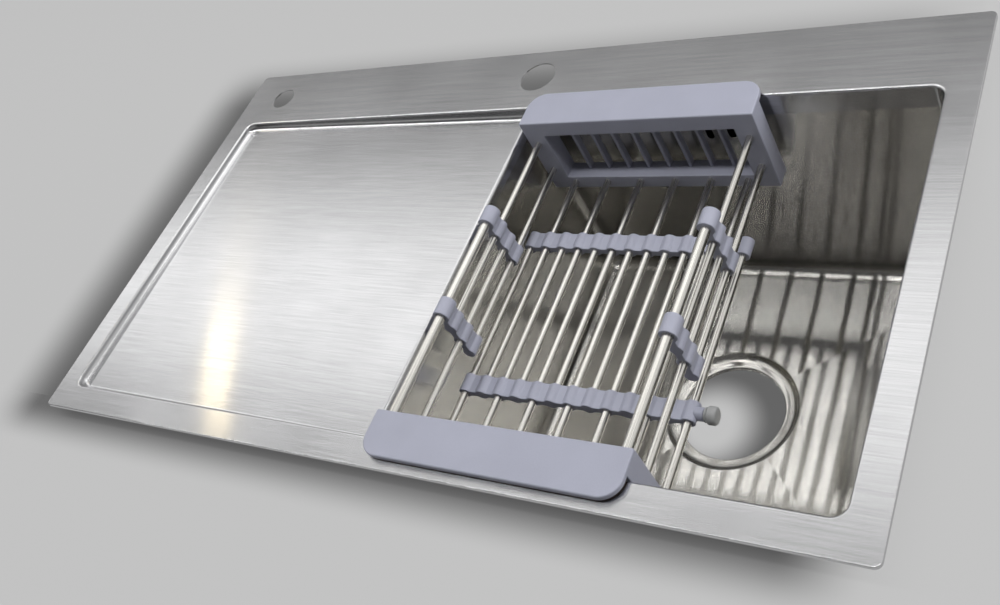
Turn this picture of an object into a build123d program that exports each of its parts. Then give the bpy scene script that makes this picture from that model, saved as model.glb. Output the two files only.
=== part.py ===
from build123d import *
import os

# Inset kitchen sink: one bowl, one drainer, and a drain basket that hangs across the bowl.
# Millimetres. X runs along the rim, Y to the back, Z up; the worktop's surface is Z = 0.

# Deck: the brushed rim, the tap ledge and the drainer
rim_length = 750.0
rim_depth = 430.0
rim_corner_r = 5.0
rim_height = 3.0
deck_sheet = 1.2
side_rim = 23.5
front_rim = 24.5
back_ledge = 73.5
opening_corner_r = 10.0
opening_edge_r = 2.0
rim_edge_r = 0.6
tap_hole_r = 17.5
tap_hole_from_back = 33.3
soap_hole_r = 13.5
soap_hole_from_left = 52.0
soap_hole_from_back = 37.0
drainer_depth = 7.0
drainer_fall = 4.6
drainer_floor_r = 5.0
divider_r = 3.0
divider_land = 1.0
collar_lap = 4.0
sharpest_inner_share = 0.25

# Bowl
bowl_length = 349.0
bowl_depth = 220.0
bowl_sheet = 1.0
bowl_floor_r = 9.0
floor_margin = 4.0
floor_fall = 3.0
drain_hole_r = 45.0
drain_dish_r = 58.0
drain_dish_depth = 7.0
drain_dish_draft = 3.0
drain_dish_fillet = 2.5
drain_from_divider = 164.0
drain_from_back_wall = 150.5
crease_square = 40.0
overflow_width = 6.0
overflow_height = 22.0
overflow_drop = 24.0
overflow_pitch = 18.7
overflow_from_divider = 161.5
overflow_count = 2

# Overflow box: a moulded cover behind the slots, with a tail for the overflow hose
overflow_box_side_margin = 12.0
overflow_box_top_gap = 0.5
overflow_box_height = 44.0
overflow_box_depth = 19.0
overflow_box_wall = 1.5
overflow_box_edge_r = 4.0
overflow_tail_r = 8.0
overflow_tail_length = 12.0
overflow_barb = 0.6
overflow_barb_length = 4.0

# Seal under the rim
seal_width = 10.0
seal_gap = 0.2

# Pads glued to the outside of the bowl
sound_pad_thickness = 3.0
sound_pad_side_margin = 55.0
sound_pad_top_drop = 80.0
sound_pad_height = 105.0
sound_pad_corner_r = 12.0

# Channels under the drainer
rail_width = 34.0
rail_height = 16.0
rail_sheet = 1.2
rail_end_gap = 30.0
rail_spacing = 170.0

# Fixing clips: a welded block, a screw and an arm that swings out under the worktop
clip_spacing = 440.0
clip_block_length = 24.0
clip_block_width = 9.0
clip_block_height = 5.0
clip_block_chamfer = 1.6
clip_screw_r = 2.5
clip_screw_length = 46.0
clip_head_r = 4.2
clip_head_height = 3.5
clip_arm_length = 30.0
clip_arm_width = 10.0
clip_arm_thickness = 2.5
clip_tooth_height = 6.0
running_clearance = 0.05
clip_arm_lift = 0.2

# Basket: two halves whose rods slide in each other's strips
basket_width = 210.0
basket_from_divider = 7.5
back_plate_gap = 7.5
front_plate_gap = 1.5
plate_thickness = 18.0
plate_height = 83.0
plate_edge_r = 1.2
flange_reach = 37.0
flange_thickness = 4.5
flange_corner_r = 16.0
flange_pad_thickness = 1.2
flange_pad_margin = 0.5
basket_lift = 0.3
window_top = 16.0
window_height = 53.0
window_side = 19.0
rib_count = 8
rib_width = 3.0
rib_depth = 8.0
rod_r = 3.0
top_rod_r = 4.0
rod_pitch = 16.0
bottom_rod_count = 13
side_rod_pitch = 16.5
side_rod_count = 4
bottom_rod_height = 8.0
socket_depth = 14.0
socket_clearance = 0.05
slide_clearance = 0.3
strip_width = 16.0
strip_from_plate = 70.0
clip_from_plate = 97.0
collar_wall = 2.5
top_collar_wall = 3.0
web_thickness = 8.0
web_fillet = 3.0
strip_blind = 3.0
knob_boss_r = 5.0
knob_boss_reach = 5.0
knob_r = 6.8
knob_length = 9.0
knob_gap = 0.3
knob_stud_r = 2.0
knob_groove_r = 0.9
knob_groove_count = 12
knob_edge = 1.0

# Places that follow from the sizes above
x_left = -rim_length / 2 + side_rim
x_right = rim_length / 2 - side_rim
x_divider = x_right - bowl_length
x_bowl = (x_divider + x_right) / 2
y_front = -rim_depth / 2 + front_rim
y_back = rim_depth / 2 - back_ledge
y_middle = (y_front + y_back) / 2
z_rim = rim_height
z_under_rim = z_rim - deck_sheet
z_divider = z_rim - drainer_depth - drainer_fall
z_step = z_divider - divider_r - divider_land
z_collar = z_step - deck_sheet - collar_lap
z_floor = z_rim - bowl_depth
overflow_x = x_divider + overflow_from_divider
drain_x = x_divider + drain_from_divider
drain_y = y_back - drain_from_back_wall
z_drain = z_floor - floor_fall - drain_dish_depth
basket_x = x_divider + basket_from_divider + basket_width / 2
y_back_plate = y_back - back_plate_gap - plate_thickness
y_front_plate = y_front + front_plate_gap + plate_thickness
z_flange_under = z_rim + basket_lift + flange_pad_thickness
z_plate_top = z_flange_under + flange_thickness
z_plate_bottom = z_plate_top - plate_height
z_bottom_rods = z_plate_bottom + bottom_rod_height
half_row = rod_pitch * (bottom_rod_count - 1) / 2
seal_inner = deck_sheet + seal_gap + seal_width
clip_y_front = -rim_depth / 2 + (seal_inner + front_rim - deck_sheet) / 2
clip_y_back = -clip_y_front
clip_x_side = rim_length / 2 - (seal_inner + side_rim - deck_sheet) / 2
z_screw_top = z_under_rim - clip_arm_lift
z_head_top = z_screw_top - clip_screw_length
z_arm = z_head_top + clip_arm_lift


def slab(x0, x1, y0, y1, z0, z1, r=0.0):
    """Upright block with rounded vertical corners."""
    centre = Plane(((x0 + x1) / 2, (y0 + y1) / 2, z0))
    if r > 0:
        outline = centre * RectangleRounded(x1 - x0, y1 - y0, r)
    else:
        outline = centre * Rectangle(x1 - x0, y1 - y0)
    return extrude(outline, amount=z1 - z0, dir=(0, 0, 1))


def rod(x, y, z, r, direction, length):
    """Round bar that starts at a point."""
    start = Plane((x, y, z), z_dir=direction)
    return extrude(start * Circle(r), amount=length)


def xz_prism(points, y0, y1):
    """Polygon in X and Z, extruded along Y."""
    outline = make_face(Plane.XZ.offset(-y1) * Polyline(*points, close=True))
    return extrude(outline, amount=y1 - y0, dir=(0, -1, 0))


def inner_radius(outer, wall):
    """Radius inside a bend of sheet, never quite sharp."""
    return max(outer - wall, outer * sharpest_inner_share)


def drainer_z(x, grow):
    """Height of the sloping drainer floor, or of its underside."""
    share = (x - x_left) / (x_divider - x_left)
    return z_rim - drainer_depth - drainer_fall * share - grow


def below_drainer(grow):
    """Everything under the drainer floor, with a rounded nose where it meets the bowl."""
    nose_x = x_divider - grow
    far_x = x_left - side_rim
    low_z = z_collar - bowl_depth
    corner = (nose_x, drainer_z(nose_x, grow))
    line = Polyline(
        (far_x, drainer_z(far_x, grow)), corner, (nose_x, low_z), (far_x, low_z), close=True
    )
    outline = make_face(line)
    nose = outline.vertices().sort_by_distance((corner[0], corner[1], 0))[0]
    outline = fillet(nose, inner_radius(divider_r, grow))
    return extrude(Plane.XZ.offset(-rim_depth) * outline, amount=2 * rim_depth, dir=(0, -1, 0))


def drainer_pocket(grow):
    """The pressed recess, grown by the sheet for its outside."""
    block = slab(
        x_left - grow,
        x_bowl,
        y_front - grow,
        y_back + grow,
        z_step - grow,
        z_rim,
        opening_corner_r + grow,
    )
    pocket = block - below_drainer(grow)
    middle_x = (x_left + x_divider) / 2
    floor = pocket.faces().sort_by_distance((middle_x, y_middle, drainer_z(middle_x, grow)))[0]
    walls = floor.edges().sort_by(Axis.X)[:-1]
    return fillet(walls, drainer_floor_r + grow)


def bowl_block(z0, z1, grow):
    """The bowl's plan, extruded between two heights."""
    return slab(
        x_divider - grow,
        x_right + grow,
        y_front - grow,
        y_back + grow,
        z0,
        z1,
        opening_corner_r + grow,
    )


def make_deck():
    half_x = rim_length / 2
    half_y = rim_depth / 2
    inner_r = inner_radius(rim_corner_r, deck_sheet)
    rim = slab(-half_x, half_x, -half_y, half_y, 0, z_rim, rim_corner_r)
    top_edges = rim.faces().sort_by(Axis.Z)[-1].edges()
    rim = fillet(top_edges, rim_edge_r)
    rim -= slab(
        -half_x + deck_sheet,
        half_x - deck_sheet,
        -half_y + deck_sheet,
        half_y - deck_sheet,
        0,
        z_under_rim,
        inner_r,
    )
    deck = rim + drainer_pocket(deck_sheet) + bowl_block(z_collar, z_rim, deck_sheet)
    deck -= drainer_pocket(0.0)
    deck -= bowl_block(z_collar, z_rim, 0.0)
    top = deck.faces().filter_by(Axis.Z).sort_by(Axis.Z)[-1]
    opening = sorted(top.inner_wires(), key=lambda w: w.length)[-1]
    deck = fillet(opening.edges(), opening_edge_r)
    tap_y = half_y - tap_hole_from_back
    deck -= rod(0, tap_y, 0, tap_hole_r, (0, 0, 1), 2 * z_rim)
    soap_x = -half_x + soap_hole_from_left
    soap_y = half_y - soap_hole_from_back
    deck -= rod(soap_x, soap_y, 0, soap_hole_r, (0, 0, 1), 2 * z_rim)
    return deck


def bowl_space(grow):
    """Room inside the bowl, or with the sheet's thickness added, its outside."""
    walls = bowl_block(z_floor - grow, z_collar, grow)
    bottom = walls.faces().sort_by(Axis.Z)[0].edges()
    walls = fillet(bottom, bowl_floor_r + grow)
    inset = bowl_floor_r + floor_margin
    wide = Plane((x_bowl, y_middle, z_floor - grow)) * Rectangle(
        bowl_length - 2 * inset, y_back - y_front - 2 * inset
    )
    low = Plane((drain_x, drain_y, z_floor - floor_fall - grow)) * Rectangle(
        crease_square, crease_square
    )
    return walls + loft([wide, low], ruled=True)


def drain_dish(grow):
    """Pressed seat round the drain hole."""
    top_r = drain_dish_r + grow
    low_r = top_r - drain_dish_draft
    line = Polyline(
        (0, z_floor),
        (top_r, z_floor),
        (top_r, z_floor - floor_fall),
        (low_r, z_drain - grow),
        (0, z_drain - grow),
        close=True,
    )
    outline = make_face(line)
    corner = outline.vertices().sort_by_distance((low_r, z_drain - grow, 0))[0]
    outline = fillet(corner, drain_dish_fillet + grow)
    spun = revolve(Plane.XZ * outline, axis=Axis.Z)
    return Pos(drain_x, drain_y, 0) * spun


def make_bowl():
    bowl = bowl_space(bowl_sheet) + drain_dish(bowl_sheet)
    bowl -= bowl_space(0.0)
    bowl -= drain_dish(0.0)
    below = z_drain - 2 * bowl_sheet
    bowl -= rod(drain_x, drain_y, below, drain_hole_r, (0, 0, 1), bowl_depth)
    slot = Plane.XZ * SlotOverall(overflow_height, overflow_width, rotation=90)
    slot_z = z_rim - overflow_drop - overflow_height / 2
    for i in range(overflow_count):
        x = overflow_x + i * overflow_pitch
        cut = extrude(slot, amount=back_ledge / 2, both=True)
        bowl -= Pos(x, y_back, slot_z) * cut
    return bowl


def make_overflow_box():
    """Shell that is open to the slots, with a barbed hose tail under it."""
    wall = overflow_box_wall
    half_slot = overflow_width / 2
    x0 = overflow_x - half_slot - overflow_box_side_margin
    x1 = overflow_x + (overflow_count - 1) * overflow_pitch + half_slot + overflow_box_side_margin
    y0 = y_back + bowl_sheet
    y1 = y0 + overflow_box_depth
    z1 = z_collar - overflow_box_top_gap
    z0 = z1 - overflow_box_height
    shell = slab(x0, x1, y0, y1, z0, z1)
    shell = fillet(shell.faces().sort_by(Axis.Y)[-1].edges(), overflow_box_edge_r)
    tail_x = (x0 + x1) / 2
    tail_y = (y0 + y1) / 2
    down = (0, 0, -1)
    shell += rod(tail_x, tail_y, z0, overflow_tail_r, down, overflow_tail_length)
    z_barb = z0 - overflow_tail_length + overflow_barb_length
    barb_r = overflow_tail_r + overflow_barb
    barb = Plane((tail_x, tail_y, z_barb), z_dir=down)
    shell += loft([barb * Circle(barb_r), barb.offset(overflow_barb_length) * Circle(overflow_tail_r)])
    room = slab(x0 + wall, x1 - wall, y0, y1 - wall, z0 + wall, z1 - wall)
    room = fillet(room.faces().sort_by(Axis.Y)[-1].edges(), inner_radius(overflow_box_edge_r, wall))
    bore_r = overflow_tail_r - wall
    room += rod(tail_x, tail_y, z0 + 2 * wall, bore_r, down, overflow_tail_length + 2 * wall)
    return shell - room


def make_rim_seal():
    outer = deck_sheet + seal_gap
    inner = seal_inner
    half_x = rim_length / 2
    half_y = rim_depth / 2
    outer_r = inner_radius(rim_corner_r, outer)
    ring = slab(
        -half_x + outer, half_x - outer, -half_y + outer, half_y - outer, 0, z_under_rim, outer_r
    )
    return ring - slab(
        -half_x + inner, half_x - inner, -half_y + inner, half_y - inner, 0, z_under_rim
    )


def sound_pad(x0, x1, y0, y1):
    """Rubber pad on one of the bowl's walls, with round corners in the wall's plane."""
    z1 = z_rim - sound_pad_top_drop
    pad = slab(x0, x1, y0, y1, z1 - sound_pad_height, z1)
    through = Axis.Y if x1 - x0 > y1 - y0 else Axis.X
    return fillet(pad.edges().filter_by(through), sound_pad_corner_r)


def make_sound_pads():
    margin = sound_pad_side_margin
    t = sound_pad_thickness
    left = x_divider - bowl_sheet
    right = x_right + bowl_sheet
    front = y_front - bowl_sheet
    back = y_back + bowl_sheet
    return {
        "sound_pad_front": sound_pad(x_divider + margin, x_right - margin, front - t, front),
        "sound_pad_back": sound_pad(x_divider + margin, x_right - margin, back, back + t),
        "sound_pad_left": sound_pad(left - t, left, y_front + margin, y_back - margin),
        "sound_pad_right": sound_pad(right, right + t, y_front + margin, y_back - margin),
    }


def drainer_rail(y):
    """Folded channel that stiffens the drainer from below."""
    x0 = x_left + rail_end_gap
    x1 = x_divider - rail_end_gap
    low = drainer_z(x0, deck_sheet) - rail_height
    outside = xz_prism(
        [
            (x0, low),
            (x0, drainer_z(x0, deck_sheet)),
            (x1, drainer_z(x1, deck_sheet)),
            (x1, low),
        ],
        y - rail_width / 2,
        y + rail_width / 2,
    )
    skin = deck_sheet + rail_sheet
    inside = xz_prism(
        [
            (x0, low),
            (x0, drainer_z(x0, skin)),
            (x1, drainer_z(x1, skin)),
            (x1, low),
        ],
        y - rail_width / 2 + rail_sheet,
        y + rail_width / 2 - rail_sheet,
    )
    return outside - inside


def clip_places():
    """Pivot and parked direction of each fixing clip, and the way that it swings out."""
    half = clip_spacing / 2
    return [
        (-half, clip_y_front, (1, 0), -1),
        (half, clip_y_front, (1, 0), -1),
        (-half, clip_y_back, (1, 0), 1),
        (half, clip_y_back, (1, 0), 1),
        (-clip_x_side, y_middle, (0, 1), 1),
        (clip_x_side, y_middle, (0, 1), -1),
    ]


def clip_turn(direction):
    """Angle about Z that turns a clip's parts from X to its parked direction."""
    return 90 if direction == (0, 1) else 0


def clip_block():
    half = clip_block_length / 2
    wide = clip_block_width / 2
    z0 = z_under_rim - clip_block_height
    block = slab(-half, half, -wide, wide, z0, z_under_rim)
    corners = block.edges().filter_by(Axis.Y).group_by(Axis.Z)[0]
    block = chamfer(corners, clip_block_chamfer)
    return block - rod(0, 0, z0, clip_screw_r + running_clearance, (0, 0, 1), clip_block_height)


def clip_screw():
    screw = rod(0, 0, z_head_top, clip_screw_r, (0, 0, 1), clip_screw_length)
    head = Plane((0, 0, z_head_top - clip_head_height)) * RegularPolygon(clip_head_r, 6)
    screw += extrude(head, amount=clip_head_height, dir=(0, 0, 1))
    return screw


def clip_arm():
    wide = clip_arm_width / 2
    z1 = z_arm + clip_arm_thickness
    strip = slab(0, clip_arm_length, -wide, wide, z_arm, z1)
    strip += rod(0, 0, z_arm, wide, (0, 0, 1), clip_arm_thickness)
    tip_x = clip_arm_length - clip_arm_thickness
    strip += slab(tip_x, clip_arm_length, -wide, wide, z_arm, z1 + clip_tooth_height)
    bore = clip_screw_r + running_clearance
    return strip - rod(0, 0, z_arm, bore, (0, 0, 1), clip_arm_thickness)


def bottom_places():
    """X and Z of the bottom rods, left to right; odd ones belong to the front half."""
    return [
        (basket_x - half_row + i * rod_pitch, z_bottom_rods) for i in range(bottom_rod_count)
    ]


def side_places(x):
    """X and Z of a side's rods, top to bottom; the first belongs to the front half."""
    return [
        (x, z_bottom_rods + (side_rod_count - i) * side_rod_pitch) for i in range(side_rod_count)
    ]


def rod_radius(group, i):
    return top_rod_r if group != "bottom" and i == 0 else rod_r


def rod_groups():
    return {
        "bottom": bottom_places(),
        "left": side_places(basket_x - half_row),
        "right": side_places(basket_x + half_row),
    }


def flange_block(y_inner, side, inset, z0, z1):
    """The flange's outline, extruded: square at the basket, round at its two outer corners."""
    half = basket_width / 2 - inset
    y0 = y_inner + side * inset
    y1 = y_inner + side * (flange_reach - inset)
    block = slab(basket_x - half, basket_x + half, min(y0, y1), max(y0, y1), z0, z1)
    upright = block.edges().filter_by(Axis.Z).sort_by(Axis.Y)
    outer_corners = upright[-2:] if side > 0 else upright[:2]
    return fillet(outer_corners, flange_corner_r - inset)


def end_plate(y_inner, side, half):
    """Moulded end of one half: a ribbed window frame under a flange that lies on the rim."""
    x0 = basket_x - basket_width / 2
    x1 = basket_x + basket_width / 2
    y_outer = y_inner + side * plate_thickness
    flange = flange_block(y_inner, side, 0.0, z_flange_under, z_plate_top)
    flange = fillet(flange.faces().sort_by(Axis.Z)[-1].edges(), plate_edge_r)
    wall_low = min(y_inner, y_outer)
    wall_high = max(y_inner, y_outer)
    wall = slab(x0, x1, wall_low, wall_high, z_plate_bottom, z_flange_under)
    z1 = z_plate_top - window_top
    z0 = z1 - window_height
    left = x0 + window_side
    right = x1 - window_side
    wall -= slab(left, right, wall_low, wall_high, z0, z1)
    rib_step = (right - left) / (rib_count + 1)
    rib_low = min(y_outer, y_outer - side * rib_depth)
    rib_high = max(y_outer, y_outer - side * rib_depth)
    for i in range(rib_count):
        x = left + (i + 1) * rib_step
        wall += slab(x - rib_width / 2, x + rib_width / 2, rib_low, rib_high, z0, z1)
    plate = flange + wall
    for group, places in rod_groups().items():
        for i, (x, z) in enumerate(places):
            if i % 2 == half:
                r = rod_radius(group, i) + socket_clearance
                plate -= rod(x, y_inner, z, r, (0, side, 0), socket_depth)
    return plate


def flange_pad(y_inner, side):
    """Rubber sheet under a flange, a little inside its outline and clear of the wall."""
    z0 = z_rim + basket_lift
    pad = flange_block(y_inner, side, flange_pad_margin, z0, z_flange_under)
    y_wall = y_inner + side * (plate_thickness + flange_pad_margin)
    half = basket_width / 2
    y_low = min(y_inner, y_wall)
    y_high = max(y_inner, y_wall)
    return pad - slab(basket_x - half, basket_x + half, y_low, y_high, z0, z_flange_under)


def wave_strip(places, group, y_middle_strip, side, half):
    """Moulded strip of joined collars; the rods of one half end in it and the others slide."""
    y0 = y_middle_strip - strip_width / 2
    y1 = y_middle_strip + strip_width / 2
    first = places[0]
    last = places[-1]
    middle = ((first[0] + last[0]) / 2, (first[1] + last[1]) / 2)
    span_x = abs(last[0] - first[0])
    span_z = abs(last[1] - first[1])
    web = Pos(*middle) * Rectangle(max(span_x, web_thickness), max(span_z, web_thickness))
    outline = web
    for i, (x, z) in enumerate(places):
        r = rod_radius(group, i)
        wall = top_collar_wall if r == top_rod_r else collar_wall
        outline += Pos(x, z) * Circle(r + wall)
    outline = fillet(outline.vertices(), web_fillet)
    strip = extrude(Plane.XZ.offset(-y1) * outline, amount=strip_width, dir=(0, -1, 0))
    for i, (x, z) in enumerate(places):
        r = rod_radius(group, i)
        if i % 2 == half:
            start = y1 if side > 0 else y0
            depth = strip_width - strip_blind
            strip -= rod(x, start, z, r + socket_clearance, (0, -side, 0), depth)
        else:
            strip -= rod(x, y0, z, r + slide_clearance, (0, 1, 0), strip_width)
    return strip


def make_basket():
    """Both halves: end plates, pads, rods, and the strips that tie the rods together."""
    pieces = {}
    halves = [("front", y_front_plate, -1, 0), ("back", y_back_plate, 1, 1)]
    gap = y_back_plate - y_front_plate
    for name, y_inner, side, parity in halves:
        pieces[f"{name}_end_plate"] = end_plate(y_inner, side, parity)
        pieces[f"{name}_flange_pad"] = flange_pad(y_inner, side)
        far = "back" if name == "front" else "front"
        for group, places in rod_groups().items():
            reach = strip_from_plate if group == "bottom" else clip_from_plate
            y_strip = y_inner - side * (gap - reach)
            y_end = y_strip - side * (strip_width / 2 - strip_blind)
            y_start = y_inner + side * socket_depth
            strip_name = f"{far}_strip" if group == "bottom" else f"{far}_{group}_clip"
            pieces[strip_name] = wave_strip(places, group, y_strip, side, parity)
            count = 0
            for i, (x, z) in enumerate(places):
                if i % 2 != parity:
                    continue
                count += 1
                bar = rod(x, y_start, z, rod_radius(group, i), (0, -side, 0), abs(y_end - y_start))
                pieces[f"{name}_rod_{group}_{count}"] = bar
    x_last = basket_x + half_row
    y_strip = y_front_plate + strip_from_plate
    rod_side = x_last + rod_r + slide_clearance
    boss_end = x_last + rod_r + collar_wall + knob_boss_reach
    boss = rod(rod_side, y_strip, z_bottom_rods, knob_boss_r, (1, 0, 0), boss_end - rod_side)
    bore = knob_stud_r + running_clearance
    strip = pieces["front_strip"] + boss
    strip -= rod(x_last, y_strip, z_bottom_rods, bore, (1, 0, 0), 2 * (boss_end - x_last))
    strip -= rod(
        x_last, y_strip - strip_width, z_bottom_rods, rod_r + slide_clearance, (0, 1, 0), 2 * strip_width
    )
    pieces["front_strip"] = strip
    pieces["lock_knob"] = make_knob(boss_end + knob_gap, y_strip, rod_side)
    return pieces


def make_knob(x0, y, stud_end):
    """Finger knob on a threaded stud that clamps the last rod."""
    start = Plane((x0, y, z_bottom_rods), z_dir=(1, 0, 0))
    knob = extrude(start * Circle(knob_r), amount=knob_length)
    knob = fillet(knob.faces().sort_by(Axis.X)[-1].edges(), knob_edge)
    for place in PolarLocations(knob_r, knob_groove_count):
        knob -= extrude(start * place * Circle(knob_groove_r), amount=knob_length)
    stud_length = x0 - stud_end
    return knob + rod(stud_end, y, z_bottom_rods, knob_stud_r, (1, 0, 0), stud_length)


def make_pieces():
    pieces = {"deck": make_deck(), "bowl": make_bowl(), "rim_seal": make_rim_seal()}
    pieces["overflow_box"] = make_overflow_box()
    pieces.update(make_sound_pads())
    pieces["drainer_rail_front"] = drainer_rail(y_middle - rail_spacing / 2)
    pieces["drainer_rail_back"] = drainer_rail(y_middle + rail_spacing / 2)
    places = [Pos(x, y, 0) * Rot(0, 0, clip_turn(way)) for x, y, way, _ in clip_places()]
    pieces["clip_blocks"] = Compound([place * clip_block() for place in places])
    pieces["clip_screws"] = Compound([place * clip_screw() for place in places])
    for i, place in enumerate(places):
        pieces[f"clip_arm_{i + 1}"] = place * clip_arm()
    pieces.update(make_basket())
    return pieces


os.makedirs("parts", exist_ok=True)
for node, shape in make_pieces().items():
    export_step(shape, f"parts/{node}.step")
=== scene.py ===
import math

import bmesh
import bpy
from mathutils import Matrix, Vector


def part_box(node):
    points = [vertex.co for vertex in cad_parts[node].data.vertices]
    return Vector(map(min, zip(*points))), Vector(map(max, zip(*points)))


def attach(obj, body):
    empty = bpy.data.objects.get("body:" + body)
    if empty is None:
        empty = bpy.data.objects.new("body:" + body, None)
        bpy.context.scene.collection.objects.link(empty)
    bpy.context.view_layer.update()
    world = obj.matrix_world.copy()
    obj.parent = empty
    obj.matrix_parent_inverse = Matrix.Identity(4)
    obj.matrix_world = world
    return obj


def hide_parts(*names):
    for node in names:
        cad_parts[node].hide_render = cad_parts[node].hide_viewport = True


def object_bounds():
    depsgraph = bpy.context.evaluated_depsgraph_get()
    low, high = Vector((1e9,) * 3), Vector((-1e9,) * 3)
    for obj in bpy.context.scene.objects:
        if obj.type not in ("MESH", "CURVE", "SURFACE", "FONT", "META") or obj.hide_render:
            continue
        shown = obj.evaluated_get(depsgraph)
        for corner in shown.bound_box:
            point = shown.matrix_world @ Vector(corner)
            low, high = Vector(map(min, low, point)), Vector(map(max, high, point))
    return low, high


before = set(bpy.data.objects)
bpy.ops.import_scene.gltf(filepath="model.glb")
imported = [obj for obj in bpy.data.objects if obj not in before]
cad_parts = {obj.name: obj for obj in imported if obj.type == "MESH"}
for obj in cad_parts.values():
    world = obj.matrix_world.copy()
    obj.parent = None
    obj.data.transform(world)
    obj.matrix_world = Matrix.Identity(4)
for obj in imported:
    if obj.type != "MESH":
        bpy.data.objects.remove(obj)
cad_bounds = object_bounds()
mm = 0.001

# Bowl: a deep box pressed and welded from stainless sheet, with a dished seat for the waste.
# It is belt-brushed along the sink's length and finer than the deck, so the floor mirrors the
# basket's rods sharply across them and smears everything along them.
bowl_colour = "#D2D0CB"
bowl_shade = "#C8C6C1"
bowl_roughness = 0.1
bowl_lean = (-0.44, 0.18)
groove_pitches = (0.05 * mm, 0.07 * mm)
grain_width = 0.8 * mm
grain_length = 60 * mm
band_width = 4 * mm
band_length = 240 * mm
band_share = 0.35
grain_depth = 0.004 * mm
grain_span = (0.45, 0.9)
smudge_size = 90 * mm
noise_span = (0.3, 0.7)
handling = (-0.015, 0.02)
end_wall_slope = 0.7


def linear(hex_colour):
    """sRGB hex to linear RGBA."""
    channels = [int(hex_colour[i : i + 2], 16) / 255 for i in (1, 3, 5)]
    return [c / 12.92 if c <= 0.04045 else ((c + 0.055) / 1.055) ** 2.4 for c in channels] + [1.0]


def add(tree, kind, inputs=None, **settings):
    """New node; inputs maps a socket's name or number to a value or to another node's output."""
    node = tree.nodes.new(kind)
    for name, value in settings.items():
        setattr(node, name, value)
    for socket, source in (inputs or {}).items():
        if isinstance(source, bpy.types.NodeSocket):
            tree.links.new(source, node.inputs[socket])
        else:
            node.inputs[socket].default_value = source
    return node


def new_material(name):
    """Material with an empty node tree."""
    material = bpy.data.materials.new(name)
    material.use_nodes = True
    material.node_tree.nodes.clear()
    return material, material.node_tree


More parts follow.
